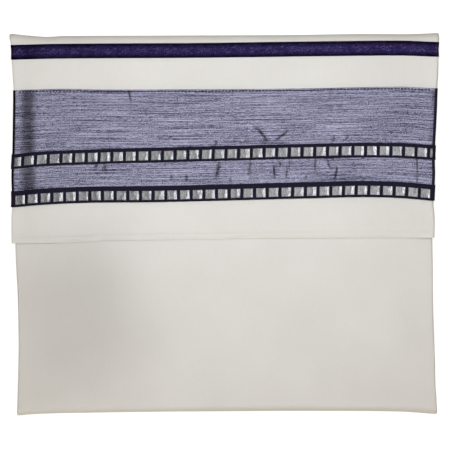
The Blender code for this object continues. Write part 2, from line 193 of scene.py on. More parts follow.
# The silk band's seams, as an edge and how far off it, draw the cloth up in small uneven ripples beside them
SEAMS = (
    (UPPER_SQUARES_TOP, 0.0), (UPPER_SQUARES_TOP, -RIBBON_WIDTH), (LOWER_SQUARES_FOOT, LOWER_RIBBON_WIDTH),
    (SILK_TOP, 0.0),
)
SEAM_REACH, SEAM_WAVE, SEAM_RIPPLE = 7.0, 13.0, 0.16

# The levels of cloth: height of the outer face, and how far the side folds lie inside the front panel's
Level = namedtuple("Level", "outer west east")
FRONT = Level(PACK_TOP, 0.0, 0.0)
BACK = Level(0.0, 0.8, 1.0)
SECOND = Level(3.7, 1.6, 0.5)
THIRD = Level(7.3, 0.4, 1.4)
FOURTH = Level(13.8, 1.2, 0.6)

# Puckers in the striped end: two ends, the width of the steep east side, and the depth
Pucker = namedtuple("Pucker", "x0 y0 x1 y1 width depth")
PUCKERS = [Pucker(*row) for row in (
    (22.4, 84, 30, 79.2, 2.2, 0.85),
    (28.6, 80, 35.8, 71.4, 1.7, 1.05),
    (53.9, 81.2, 41.8, 72.4, 1.4, 0.95),
    (93.4, 76.4, 91.6, 70.6, 1.3, 0.66),
    (105.6, 77.5, 102.4, 72.4, 1.3, 0.74),
    (17.3, 77, 15.6, 71, 1.9, 0.66),
    (19.9, 73.5, 20, 69.8, 1.2, 0.44),
    (6.9, 75, 7, 71, 1.5, 0.5),
    (-9.3, 71.8, -7, 68.4, 1.3, 0.7),
    (-83.5, 117, -81, 105, 1.2, 0.44),
    (-111, 55.5, -112.1, 47.5, 1.8, 0.62),
    (-104.7, 53, -103.9, 44.5, 2.4, 0.42),
    (-47.7, 44, -46.5, 36.5, 1.8, 0.45),
    (-34.3, 43, -33.5, 36.8, 1.5, 0.6),
    (-6.5, 54.5, -9.2, 38.5, 2.6, 0.85),
    (3.8, 40.6, 3.6, 36.2, 1.4, 0.5),
    (20.2, 55, 18.6, 40.5, 2.8, 0.72),
    (23.5, 41, 23.9, 37.4, 1.3, 0.45),
    (26.5, 40.8, 27, 37.4, 1.3, 0.4),
    (40.8, 53, 42.2, 38.6, 1.5, 0.85),
    (47.2, 54.6, 46.4, 49, 1.3, 0.66),
    (53, 49.2, 51.2, 39.2, 1.6, 0.62),
    (54.9, 58.8, 54.8, 49.5, 1.1, 0.52),
    (68.9, 42.8, 68.6, 38.8, 1.3, 0.6),
    (76.9, 58.4, 76.2, 43.8, 1.6, 0.68),
    (86, 56.8, 90.8, 45.6, 1.2, 0.74),
    (92.4, 57.6, 92.2, 53.6, 1.2, 0.62),
    (95.6, 49.8, 93.7, 38.4, 1.3, 0.88),
    (119.4, 60, 121, 54, 1.3, 0.35),
)]


def follow(table, place):
    """The reach beside places in a table, on a smooth curve through its rows."""
    places = np.array([row.place for row in table], float)
    reaches = np.array([row.reach for row in table], float)
    slopes = np.empty(len(table))
    slopes[1:-1] = (reaches[2:] - reaches[:-2]) / (places[2:] - places[:-2])
    slopes[0] = (reaches[1] - reaches[0]) / (places[1] - places[0])
    slopes[-1] = (reaches[-1] - reaches[-2]) / (places[-1] - places[-2])
    place = np.clip(place, places[0], places[-1])
    start = np.clip(np.searchsorted(places, place, side="right") - 1, 0, len(table) - 2)
    span = places[start + 1] - places[start]
    t = (place - places[start]) / span
    return (
        (1 + 2 * t) * (1 - t) ** 2 * reaches[start]
        + t * (1 - t) ** 2 * span * slopes[start]
        + t * t * (3 - 2 * t) * reaches[start + 1]
        + t * t * (t - 1) * span * slopes[start + 1]
    )


def off(table, north):
    """The line that runs this far north of an edge."""
    return lambda x: follow(table, x) + north


hem = off(FLAP_HEM, 0.0)
north_start = off(NORTH_EDGE, -NORTH_TURN)
middle_start = off(NORTH_EDGE, -MIDDLE_TURN_START)
south_start = off(SOUTH_EDGE, SOUTH_TURN)
inner_south = off(SOUTH_EDGE, SOUTH_INNER_START)


def ease(value, start, end):
    """0 at start and 1 at end, levelling off at both."""
    t = np.clip((value - start) / (end - start), 0.0, 1.0)
    return t * t * (3 - 2 * t)


def ease_long(value, start, end):
    """Like ease, but steeper halfway and with longer feet."""
    t = np.clip((value - start) / (end - start), 0.0, 1.0)
    return t ** 3 * (10 + t * (6 * t - 15))


def ripple(x, y, seed, wave, height):
    """Soft uneven swells: a few long waves in seeded directions."""
    draw = np.random.default_rng(seed)
    total = 0.0
    for _ in range(6):
        turn = draw.uniform(0, pi)
        length = wave * draw.uniform(0.7, 1.5)
        phase = draw.uniform(0, 2 * pi)
        total = total + np.sin((x * cos(turn) + y * sin(turn)) * 2 * pi / length + phase)
    return height * total / 6


def nick(east, width, slowness=4.5):
    """A small fold's profile: it falls slowly from the west and rises steeply again to the east."""
    return np.exp(-((east / np.where(east < 0, slowness * width, width)) ** 2))


def groove(x, y, pucker):
    """Depth of one pucker at a place: deepest along its line, fading to its ends and sides."""
    dx, dy = pucker.x1 - pucker.x0, pucker.y1 - pucker.y0
    length = (dx * dx + dy * dy) ** 0.5
    along = ((x - pucker.x0) * dx + (y - pucker.y0) * dy) / length
    east = ((y - pucker.y0) * dx - (x - pucker.x0) * dy) / length
    fade = np.exp(-(((along - length / 2) / (length * 0.5)) ** 4))
    return pucker.depth * fade * nick(east, pucker.width)


def panel_top(x, y):
    """Height of the front panel's outer face."""
    crown = CROWN * (1 - np.clip(np.abs(x) / HALF_WIDTH, 0, 1) ** 2)
    crown = crown * (1 - np.clip(np.abs(y) / HALF_DEPTH, 0, 1) ** 2)
    sag = SAG * ease(x, SAG_EAST, SAG_WEST) * ease(y, SAG_NORTH, SAG_SOUTH)
    return PACK_TOP + crown - sag


def flap_top(x, y):
    """Height of the flap's outer face, without its fine creases."""
    foot = hem(x)
    shift = ripple(0.2 * x, y, 15, STEP_WANDER_WAVE, STEP_WANDER)
    west = WEST_STEP * (1 - ease_long(x + shift, WEST_STEP_START, WEST_STEP_END))
    east = EAST_CURL * np.clip((x - EAST_CURL_START) / EAST_CURL_LENGTH, 0.0, 1.0) ** 2
    settle = HEM_SETTLE + HEM_SETTLE_MIDWAY * ease(HALF_WIDTH - np.abs(x), MIDWAY_FROM, MIDWAY_TO)
    settle = settle * (1 - ease(y, foot, foot + HEM_SETTLE_LENGTH))
    return panel_top(x, y) + FLAP_RISE - settle - west + east


def flap_surface(x, y):
    """The flap's outer face with its hem, creases and puckers."""
    z = flap_top(x, y)
    foot = hem(x)
    z = z + HEM_THICKER * ease(y, foot + HEM_WIDTH + HEM_STEP_LENGTH, foot + HEM_WIDTH)
    rolled = ease(HALF_WIDTH - np.abs(x), ROLL_FROM, ROLL_TO)
    z = z - HEM_ROLL * (1 - ease(y, foot, foot + HEM_ROLL_LENGTH)) * rolled
    crease = EAST_CREASE_DEPTH + EAST_CREASE_MORE * np.exp(-(((y - EAST_CREASE_Y) / EAST_CREASE_LENGTH) ** 4))
    z = z - crease * nick(x - EAST_CREASE_X, EAST_CREASE_WIDTH, EAST_CREASE_SLOWNESS)
    for pucker in PUCKERS:
        z = z - groove(x, y, pucker)
    for number, (table, offset) in enumerate(SEAMS):
        away = np.abs(y - follow(table, x) - offset)
        z = z + np.exp(-((away / SEAM_REACH) ** 2)) * ripple(x, y * 0.15, 40 + number, SEAM_WAVE, SEAM_RIPPLE)
    return z + ripple(x, y, 11, FLAP_WAVE, SWELL)


def panel_surface(x, y):
    """The front panel's outer face with its long soft swells."""
    return panel_top(x, y) + ripple(x, y, 12, PANEL_WAVE, SWELL) * ease(y, HALF_DEPTH + 1.0, 0.0)


class Grid:
    """Points in rows and columns, with the cloth's own flat coordinates beside each."""

    def __init__(self, points, flat):
        self.points = points
        self.flat = flat

    def normals(self):
        """Unit normals from the neighbours of each point; rows run north and columns east on the flap."""
        along = np.gradient(self.points, axis=0)
        across = np.gradient(self.points, axis=1)
        normal = np.cross(across, along)
        return normal / np.maximum(np.linalg.norm(normal, axis=2, keepdims=True), 1e-9)

    def moved(self, distance):
        """The same grid moved along its normals."""
        if np.ndim(distance) == 2:
            distance = distance[:, :, None]
        return Grid(self.points + self.normals() * distance, self.flat)


class Band:
    """A stretch of folded cloth: its side edges, and the depth of the rounded fold down each side."""

    WAVES = (190.0, 83.0, 41.0)

    def __init__(self, west, east, depth, seed, wobble, insets=(0.0, 0.0)):
        self.west = west
        self.east = east
        self.depth = depth
        self.seed = seed
        self.wobble = wobble
        self.insets = insets

    def edge(self, side, y):
        """Where the side fold's outermost line runs."""
        base = follow(self.west if side < 0 else self.east, y) - side * self.insets[0 if side < 0 else 1]
        draw = np.random.default_rng(self.seed + (0 if side < 0 else 500))
        wander = 0.0
        for length in self.WAVES:
            wander = wander + np.sin(y * 2 * pi / length + draw.uniform(0, 2 * pi)) * length / self.WAVES[0]
        return base - side * self.wobble * (0.5 + 0.4 * wander)


Column = namedtuple("Column", "side part value flat")
TOP, FOLD, ARM = 0, 1, 2
Place = namedtuple("Place", "y z normal_y normal_z")


def fold_columns(side, last_angle, steps, arm, arm_steps):
    """Lines down one side: round the fold by angle, then inwards below along an arm by inset."""
    half_turn = pi * FOLD_REACH
    columns = [
        Column(side, FOLD, angle, side * (HALF_WIDTH + half_turn * angle / 180))
        for angle in np.linspace(0, last_angle, steps + 1)[1:]
    ]
    for inset in np.linspace(0, arm, arm_steps + 1)[1:]:
        columns.append(Column(side, ARM, FOLD_REACH + inset, side * (HALF_WIDTH + half_turn + inset)))
    return columns


def columns_across(spacing, west_arm=(12.0, 3), east_arm=(12.0, 3), last_angle=180, steps=8, shares=None,
                   fine=()):
    """Lines across a band, from the end of the west arm over the top to the end of the east arm."""
    width = 2 * HALF_WIDTH
    if shares is None:
        places = list(np.arange(0, width + spacing / 2, spacing))
        for low, high, step in fine:
            places = [place for place in places if not low < place < high]
            places += list(np.arange(low, high + step / 2, step))
        shares = [place / width for place in places]
    shares = sorted(set(np.round(np.clip(shares, 0, 1), 6)))
    top = [Column(0, TOP, share, -HALF_WIDTH + share * width) for share in shares]
    west = fold_columns(-1, last_angle, steps, *west_arm)
    east = fold_columns(1, last_angle, steps, *east_arm)
    return west[::-1] + top + east


def sweep(band, columns, lines, draw_in=None):
    """A grid of a band's outer face: each line gives its Place for an array of x."""
    part = np.array([c.part for c in columns])
    side = np.array([c.side for c in columns], float)
    value = np.array([c.value for c in columns], float)
    across = np.array([c.flat for c in columns], float)
    on_top, on_fold, on_arm = part == TOP, part == FOLD, part == ARM
    angle = np.radians(np.where(on_fold, value, 0.0))
    points, flat = [], []
    travelled = 0.0
    for line in lines:
        x = np.where(on_top, -HALF_WIDTH + 2 * HALF_WIDTH * value, side * (HALF_WIDTH - FOLD_REACH))
        # The side edges depend on y, which depends on x, so a few rounds settle all three
        for _ in range(4):
            place = line(x)
            west, east = band.edge(-1, place.y), band.edge(1, place.y)
            edge = np.where(side < 0, west, east)
            depth = band.depth(x, place.y, side)
            # A shallow fold is also a short one, so that its wall never turns tighter than its thickness
            reach = np.minimum(FOLD_REACH, (depth / 2) ** 2 / (PLY + 0.05))
            reach_west = np.where(side < 0, reach, FOLD_REACH)
            reach_east = np.where(side > 0, reach, FOLD_REACH)
            crest = west + reach_west + (east - west - reach_west - reach_east) * value
            x = np.where(on_top, crest, edge - side * reach)
            x = np.where(on_arm, edge - side * value, x)
        sunk = np.where(on_fold, depth / 2 * (1 - np.cos(angle)), 0.0)
        sunk = np.where(on_arm, depth, sunk)
        x = np.where(on_fold, edge - side * reach * (1 - np.sin(angle)), x)
        y = place.y - sunk * place.normal_y
        if draw_in is not None:
            y = y + draw_in(x, place.y, side) * on_arm
        row = np.stack((x, y, place.z - sunk * place.normal_z), axis=1)
        if points:
            middle = len(columns) // 2
            travelled += float(np.linalg.norm(row[middle] - points[-1][middle]))
        points.append(row)
        flat.append(np.stack((across, np.full(len(columns), travelled)), axis=1))
    return Grid(np.array(points), np.array(flat))


def level_line(y_of_x, surface, facing=1.0):
    """A line on a flat stretch whose outer face looks up, or down where facing is -1."""
    def at(x):
        y = y_of_x(x)
        return Place(y, surface(x, y), 0.0 * x, facing + 0.0 * x)
    return at


def turn_line(start, surface, reach, low, angle):
    """A line on an end's rounded turn, which leaves the surface at start and ends at height low."""
    turn = radians(angle)

    def at(x):
        y = start(x)
        top = surface(x, y)
        half = (top - low) / 2
        length = np.hypot(half * sin(turn), reach * cos(turn))
        return Place(y + reach * sin(turn), top - half * (1 - cos(turn)),
                     np.sign(reach) * half * sin(turn) / length, abs(reach) * cos(turn) / length)
    return at


def turn_lines(start, surface, reach, low, first, last, steps):
    return [turn_line(start, surface, reach, low, angle) for angle in np.linspace(first, last, steps)]


def between(start, end, share):
    """The line at a share of the way from one line to another."""
    return lambda x: start(x) + share * (end(x) - start(x))


def level_lines(start, end, rows, surface, facing=1.0):
    return [level_line(between(start, end, row / rows), surface, facing) for row in range(rows + 1)]


def grid_faces(rows, columns, first, flip):
    """Quads of a grid of vertices numbered row by row from first."""
    number = np.arange(rows * columns).reshape(rows, columns) + first
    a, b, c, d = number[:-1, :-1], number[:-1, 1:], number[1:, 1:], number[1:, :-1]
    order = (a, d, c, b) if flip else (a, b, c, d)
    return np.stack([corner.ravel() for corner in order], axis=1)


def rim(rows, columns, first):
    """The numbers of a grid's outer vertices, in order round it."""
    number = np.arange(rows * columns).reshape(rows, columns) + first
    return np.concatenate((number[0], number[1:, -1], number[-1, -2::-1], number[-2:0:-1, 0]))


def shell(outer, inner):
    """Vertices, faces and flat coordinates of a closed thin wall between two like grids."""
    rows, columns = outer.points.shape[:2]
    count = rows * columns
    points = np.concatenate((outer.points.reshape(-1, 3), inner.points.reshape(-1, 3)))
    flat = np.concatenate((outer.flat.reshape(-1, 2), inner.flat.reshape(-1, 2)))
    low, high = rim(rows, columns, count), rim(rows, columns, 0)
    edge = np.stack((low, np.roll(low, -1), np.roll(high, -1), high), axis=1)
    outside, inside = grid_faces(rows, columns, 0, False), grid_faces(rows, columns, count, True)
    return points, np.concatenate((outside, inside, edge)).tolist(), flat


def make_mesh(name, points, faces, flat, material, sharp=60):
    """One smooth mesh object that rides with the part; flat coordinates go into the map named cloth."""
    mesh = bpy.data.meshes.new(name)
    mesh.from_pydata((points * MM).tolist(), [], list(faces))
    if flat is not None:
        layer = mesh.uv_layers.new(name="cloth")
        corner = np.empty(len(mesh.loops), dtype=np.int32)
        mesh.loops.foreach_get("vertex_index", corner)
        layer.data.foreach_set("uv", (flat[corner] * MM).astype(np.float32).ravel())
    mesh.materials.append(material)
    mesh.shade_smooth()
    mesh.set_sharp_from_angle(angle=radians(sharp))
    piece = bpy.data.objects.new(name, mesh)
    bpy.context.collection.objects.link(piece)
    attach(piece, "root")
    return piece


def make_cloth(name, outer, thickness, material):
    return make_mesh(name, *shell(outer, outer.moved(-thickness)), material)


# Materials

RANGE = ("From Min", "From Max", "To Min", "To Max")


class Nodes:
    """Short calls for building one material's nodes."""

    def __init__(self, name, **sockets):
        self.material = bpy.data.materials.new(name)
        self.material.use_nodes = True
        self.tree = self.material.node_tree
        self.shader = self.tree.nodes["Principled BSDF"]
        for socket, value in sockets.items():
            self.shader.inputs[socket.replace("_", " ")].default_value = value
        self.flat = self.add("ShaderNodeUVMap", uv_map="cloth").outputs["UV"]

    def add(self, kind, **settings):
        node = self.tree.nodes.new(kind)
        for key, value in settings.items():
            setattr(node, key, value)
        return node

    def put(self, socket, value):
        if isinstance(value, bpy.types.NodeSocket):
            self.tree.links.new(value, socket)
        else:
            socket.default_value = value

    def math(self, operation, a, b=0.0):
        node = self.add("ShaderNodeMath", operation=operation)
        self.put(node.inputs[0], a)
        self.put(node.inputs[1], b)
        return node.outputs[0]

    def mix(self, *terms):
        """The sum of values, each times its weight."""
        total = 0.0
        for value, weight in terms:
            total = self.math("ADD", total, self.math("MULTIPLY", value, weight))
        return total

    def stretch(self, x_mm, y_mm):
        """Flat coordinates counted in cells of this size."""
        node = self.add("ShaderNodeMapping")
        node.inputs["Scale"].default_value = (1 / (x_mm * MM), 1 / (y_mm * MM), 1.0)
        self.tree.links.new(self.flat, node.inputs["Vector"])
        return node.outputs["Vector"]

    def noise(self, x_mm, y_mm, detail, roughness=0.5):
        """Noise with blots of about this size in the cloth's flat coordinates."""
        vector = self.stretch(x_mm, y_mm)
        node = self.add("ShaderNodeTexNoise")
        self.tree.links.new(vector, node.inputs["Vector"])
        node.inputs["Scale"].default_value = 1.0
        node.inputs["Detail"].default_value = detail
        node.inputs["Roughness"].default_value = roughness
        return node.outputs["Fac"]

    def ramp(self, value, low, high, low_to=0.0, high_to=1.0):
        node = self.add("ShaderNodeMapRange", clamp=True)
        self.put(node.inputs["Value"], value)
        for socket, number in zip(RANGE, (low, high, low_to, high_to)):
            node.inputs[socket].default_value = number
        return node.outputs["Result"]

    def blend(self, share, a, b):
        node = self.add("ShaderNodeMix", data_type="RGBA")
        self.put(node.inputs["Factor"], share)
        for number, color in ((6, a), (7, b)):
            self.put(node.inputs[number], (*color, 1.0) if isinstance(color, tuple) else color)
        return node.outputs[2]

    def color(self, value):
        self.put(self.shader.inputs["Base Color"], value)

    def relief(self, height, distance_mm, strength):
        node = self.add("ShaderNodeBump")
        node.inputs["Strength"].default_value = strength
        node.inputs["Distance"].default_value = distance_mm * MM
        self.put(node.inputs["Height"], height)
        self.put(self.shader.inputs["Normal"], node.outputs["Normal"])

    def split(self, vector):
        node = self.add("ShaderNodeSeparateXYZ")
        self.put(node.inputs[0], vector)
        return node.outputs[0], node.outputs[1]

    def weave(self, pitch_mm):
        """Height of a plain weave: threads pass over and under in turn."""
        places = self.split(self.stretch(pitch_mm, pitch_mm))
        waves = [self.math("SINE", self.math("MULTIPLY", place, 2 * pi)) for place in places]
        return self.math("MULTIPLY", *waves)


def ivory_cloth(name):
    """Matt plain weave in warm ivory, with faint threads both ways and fainter clouds."""
    n = Nodes(name, Roughness=0.9, Sheen_Weight=0.10, Sheen_Roughness=0.5, Specular_IOR_Level=0.2)
    shade, light = (0.690, 0.655, 0.602), (0.764, 0.732, 0.676)
    threads = n.noise(9.0, 0.55, 3.0)
    wefts = n.noise(0.55, 9.0, 3.0)
    clouds = n.noise(60.0, 60.0, 2.0)
    tone = n.mix((n.math("ADD", threads, wefts), 0.25), (clouds, 0.5))
    n.color(n.blend(n.ramp(tone, 0.3, 0.7), shade, light))
    height = n.mix((n.weave(0.9), 0.3), (n.math("ADD", threads, wefts), 1.0))
    n.relief(height, 0.08, 0.5)
    return n.material


def shot_silk():
    """Shot silk of navy and silver-blue threads across the shawl, with dark slubs, and painted shade in
    near-black where it turns down round the side folds.
    """
    n = Nodes("shot_silk", Roughness=0.36, Metallic=0.9, Anisotropic=0.8, Anisotropic_Rotation=0.25)
    navy, silver_blue = (0.026, 0.026, 0.064), (0.35, 0.365, 0.515)
    slub_navy, turn_shade_navy = (0.030, 0.025, 0.075), (0.008, 0.006, 0.020)
    threads = n.noise(70.0, 0.6, 0.0)
    streaks = n.noise(28.0, 0.85, 0.0)
    breaks = n.noise(4.5, 0.5, 0.0)
    grain = n.noise(1.15, 0.55, 1.0)
    slubs = n.noise(6.0, 0.7, 0.0)
    clouds = n.math("SUBTRACT", n.noise(60.0, 16.0, 2.0), 0.5)
    tone = n.mix((threads, 0.32), (grain, 0.48), (streaks, 0.18), (breaks, 0.22), (clouds, 0.08))
    color = n.blend(n.ramp(tone, 0.492, 0.708), navy, silver_blue)
    color = n.blend(n.ramp(slubs, 0.75, 0.83), color, slub_navy)
    # Painted shade: near-black where the silk turns down round the side folds
    along, _ = n.split(n.flat)
    outwards = n.math("ABSOLUTE", n.math("ADD", along, SILK_TURN_SHADE_SHIFT * MM))
    turn_shade = n.ramp(outwards, (SILK_TURN_SHADE + 0.2) * MM, (SILK_TURN_SHADE + 0.7) * MM)
    n.color(n.blend(turn_shade, color, turn_shade_navy))
    n.relief(n.mix((breaks, 1.0), (threads, 1.0), (grain, 1.0)), 0.2, 0.7)
    tangent = n.add("ShaderNodeTangent", direction_type="UV_MAP", uv_map="cloth")
    n.put(n.shader.inputs["Tangent"], tangent.outputs[0])
    return n.material


def navy_thread():
    n = Nodes("navy_ribbon_weave", Roughness=0.7, Specular_IOR_Level=0.12)
    ribs = n.noise(0.5, 6.0, 1.0)
    n.color(n.blend(n.ramp(ribs, 0.35, 0.65), (0.004, 0.003, 0.010), (0.010, 0.007, 0.022)))
    n.relief(ribs, 0.12, 0.6)
    return n.material


def silver_thread():
    n = Nodes("silver_lame", Roughness=0.33, Metallic=0.72)
    threads = n.noise(0.55, 5.0, 1.0)
    glints = n.noise(0.9, 1.1, 2.0, 0.7)
    tone = n.mix((threads, 0.4), (glints, 0.6))
    n.color(n.blend(n.ramp(tone, 0.38, 0.62), (0.105, 0.109, 0.119), (0.305, 0.315, 0.335)))
    n.relief(tone, 0.3, 0.75)
    return n.material


def navy_jacquard():
    """Navy satin with a faint violet figure: a generic running vine with a leaf in each of its bends."""
    n = Nodes("navy_jacquard", Roughness=0.48, Metallic=0.75, Specular_IOR_Level=0.03)
    pitch, swing = 10.4 * MM, 1.8 * MM
    leaf_length, leaf_width, leaf_off = 2.4 * MM, 1.7 * MM, 1.4 * MM
    satin_shade, satin_light = (0.003, 0.002, 0.017), (0.022, 0.016, 0.066)
    border_navy, figure_violet = (0.003, 0.002, 0.009), (0.068, 0.051, 0.155)
    along, across = n.split(n.flat)
    uneven = n.math("SUBTRACT", n.noise(4.0, 3.0, 1.0), 0.5)
    across = n.math("SUBTRACT", across, RIBBON_WIDTH * MM / 2)
    across = n.math("ADD", across, n.math("MULTIPLY", uneven, 3.4 * MM))
    along = n.math("ADD", n.math("DIVIDE", along, pitch), n.math("MULTIPLY", uneven, 0.9))
    wave = n.math("MULTIPLY", n.math("SINE", n.math("MULTIPLY", along, 2 * pi)), swing)
    figure = n.ramp(n.math("ABSOLUTE", n.math("SUBTRACT", across, wave)), 0.0002, 0.0010, 1.0, 0.0)
    for bend, side in ((0.25, -1.0), (0.75, 1.0)):
        cell = n.math("SUBTRACT", n.math("FRACT", n.math("SUBTRACT", along, bend - 0.5)), 0.5)
        leaf_x = n.math("DIVIDE", n.math("MULTIPLY", cell, pitch), leaf_length)
        leaf_y = n.math("DIVIDE", n.math("SUBTRACT", across, side * leaf_off), leaf_width)
        round_it = n.math("ADD", n.math("POWER", leaf_x, 2.0), n.math("POWER", leaf_y, 2.0))
        figure = n.math("MAXIMUM", figure, n.ramp(round_it, 0.2, 1.3, 0.8, 0.0))
    edge = n.ramp(n.math("ABSOLUTE", across), 0.0040, 0.0048, 1.0, 0.0)
    threads = n.noise(1.0, 0.9, 2.0)
    worn = n.ramp(n.noise(7.0, 4.0, 2.0), 0.38, 0.6, 0.12, 1.0)
    worn = n.math("MULTIPLY", worn, n.ramp(threads, 0.36, 0.62, 0.15, 1.0))
    share = n.math("MULTIPLY", n.math("MULTIPLY", figure, edge), worn)
    satin = n.blend(n.ramp(threads, 0.34, 0.66), satin_shade, satin_light)
    ground = n.blend(edge, border_navy, satin)
    n.color(n.blend(share, ground, figure_violet))
    height = n.math("ADD", n.math("MULTIPLY", share, 0.8), threads)
    n.relief(height, 0.12, 0.6)
    return n.material


def plain_material(name, color, roughness):
    n = Nodes(name, Roughness=roughness, Specular_IOR_Level=0.08)
    grain = n.add("ShaderNodeTexNoise")
    grain.inputs["Scale"].default_value = 900.0
    n.color(n.blend(grain.outputs["Fac"], color, tuple(c * 1.25 for c in color)))
    return n.material


IVORY = ivory_cloth("ivory_cloth")
INNER = ivory_cloth("inner_cloth")
SILK = shot_silk()
NAVY = navy_thread()
SILVER = silver_thread()
JACQUARD = navy_jacquard()
NAVY_STITCH = plain_material("navy_stitch_thread", (0.012, 0.009, 0.030), 0.6)
IVORY_STITCH = plain_material("ivory_stitch_thread", (0.60, 0.57, 0.52), 0.7)


# Cloth


def flap_depth(x, y, side):
    """How deep the flap's side folds are: the west third lies on the east one, apart from its outer strip."""
    west_third = WEST_THIRD_LIFT * ease(x, WEST_THIRD_RISE_START, WEST_THIRD_RISE_END)
    return flap_surface(x, y) - panel_top(x, y) - THIRD_GAP - np.where(side < 0, west_third, 0.0)


def panel_depth(x, _y, _side):
    return 0.0 * x + LAYER - 0.1


def inner_depth(x, y, _side):
    return 0.0 * x + INNER_DEPTH + ripple(x, y, 21, INNER_WAVE, INNER_SWELL)


def height(z):
    return lambda x, y: z + 0.0 * x


FLAP = Band(FLAP_WEST, FLAP_EAST, flap_depth, seed=3, wobble=0.3)
PANEL = Band(PANEL_WEST, PANEL_EAST, panel_depth, seed=7, wobble=0.4)
# Finer lines over the west step and the east crease, in millimetres from the west edge
STEP_AND_CREASE = ((3.0, 26.0, 0.9), (346.0, 366.0, 0.9))


def draw_in_thirds(x, y, side):
    """The tucked thirds' hems lie a little north of the flap's own."""
    inset = np.where(side > 0, TUCKED_HEM_INSET, TUCKED_HEM_INSET - WEST_HEM_SHORTER)
    return inset * (1 - ease(y, hem(x), hem(x) + HEM_SETTLE_LENGTH))


def flap_foot(x):
    return north_start(x) - TURN_FOOT


def front_foot(x):
    return south_start(x) + TURN_FOOT


def make_flap():
    columns = columns_across(
        2.0, west_arm=(WEST_THIRD_LENGTH, 26), east_arm=(EAST_THIRD_LENGTH, 26), fine=STEP_AND_CREASE
    )
    # Rows lie closest in the hem's roll, less close over the rest of the hem, and widest beyond it
    roll_end, hem_end = 0.022, 0.09
    roll_rows, hem_rows = np.linspace(0, roll_end, 8), np.linspace(roll_end, hem_end, 11)
    shares = np.concatenate((roll_rows, hem_rows[1:], np.linspace(hem_end, 1, 90)[1:-1]))
    lines = [level_line(between(hem, north_start, share), flap_surface) for share in shares]
    lines += turn_lines(north_start, flap_surface, NORTH_TURN, BACK.outer, 0, 180, 20)
    lines.append(level_line(flap_foot, height(BACK.outer), -1.0))
    piece = make_cloth("flap_cloth", sweep(FLAP, columns, lines, draw_in_thirds), PLY, IVORY)
    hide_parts("flap", "flap_under_layers")
    stitches = make_stitches("hem_stitches", off(FLAP_HEM, HEM_WIDTH), 0.0, IVORY_STITCH, *HEM_STITCH)


def make_front():
    columns = columns_across(3.0)
    lines = [level_line(front_foot, height(BACK.outer), -1.0)]
    lines += turn_lines(south_start, panel_surface, -SOUTH_TURN, BACK.outer, 180, 0, 20)
    lines += level_lines(south_start, middle_start, 100, panel_surface)[1:]
    lines += turn_lines(middle_start, panel_surface, MIDDLE_TURN, SECOND.outer, 10, 40, 4)
    piece = make_cloth("front_cloth", sweep(PANEL, columns, lines), PLY, IVORY)
    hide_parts("front_panel")


def make_back():
    """The bottom pass, whose outer face rests on the surface below."""
    band = Band(PANEL_WEST, PANEL_EAST, inner_depth, seed=31, wobble=0.5, insets=(BACK.west, BACK.east))
    lines = level_lines(lambda x: flap_foot(x) - BACK_GAP, lambda x: front_foot(x) + BACK_GAP, 60,
                        height(BACK.outer), -1.0)
    piece = make_cloth("back_cloth", sweep(band, columns_across(8.0), lines), PLY, INNER)


def make_wrapped():
    """The cloth inside the pack, north and south in turn, up to its end."""
    def passing(start, end, level, facing):
        return [(line, level) for line in level_lines(start, end, 50, height(level.outer), facing)[1:]]

    def turning(start, reach, upper, lower, first, steps):
        lines = turn_lines(start, height(upper.outer), reach, lower.outer, first, 180, steps)
        return [(line, upper if step < steps / 2 else lower) for step, line in enumerate(lines)]

    route = turning(middle_start, MIDDLE_TURN, FRONT, SECOND, 45, 14)
    route += passing(middle_start, inner_south, SECOND, -1.0)
    up = turning(inner_south, -SOUTH_INNER_TURN, FOURTH, SECOND, 0, 14)
    route += up[::-1][1:]
    route += passing(inner_south, middle_start, FOURTH, 1.0)
    route += turning(middle_start, INNER_TURN, FOURTH, THIRD, 0, 10)[1:]
    route += passing(middle_start, lambda x: inner_south(x) + INNER_END, THIRD, -1.0)
    columns = columns_across(8.0)
    grids = []
    for line, level in route:
        seed = 50 + int(level.outer)
        band = Band(PANEL_WEST, PANEL_EAST, inner_depth, seed, wobble=0.5, insets=(level.west, level.east))
        grids.append(sweep(band, columns, [line]))
    points = np.concatenate([grid.points for grid in grids])
    middle = points[:, len(columns) // 2]
    travelled = np.concatenate(([0.0], np.cumsum(np.linalg.norm(np.diff(middle, axis=0), axis=1))))
    flat = np.concatenate([grid.flat for grid in grids])
    flat[:, :, 1] = travelled[:, None]
    piece = make_cloth("wrapped_cloth", Grid(points, flat), PLY, INNER)
    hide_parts("hidden_layers")


def skin_line(y_of_x):
    """A line on the flap's outer face, also where that has begun to turn down at the north."""
    def at(x):
        y = y_of_x(x)
        start = north_start(x)
        base = np.minimum(y, start)
        over = np.clip((y - start) / NORTH_TURN, 0.0, 0.9)
        turn = np.arcsin(over)
        top = flap_surface(x, base)
        half = top / 2
        length = np.hypot(half * np.sin(turn), NORTH_TURN * np.cos(turn))
        return Place(base + NORTH_TURN * over, top - half * (1 - np.cos(turn)),
                     half * np.sin(turn) / length, NORTH_TURN * np.cos(turn) / length)
    return at


def trim_between(top, foot, steps, columns):
    """A grid of the flap's outer face from one line down to another."""
    return sweep(FLAP, columns, [skin_line(between(foot, top, step / steps)) for step in range(steps + 1)])


def trim_columns(spacing=None, shares=None):
    """Lines across a trim, whose ends are turned most of the way round the side folds."""
    return columns_across(spacing, (0, 0), (0, 0), last_angle=130, steps=6, shares=shares)


def lifted_shell(grid, low, high):
    return shell(grid.moved(high), grid.moved(low))


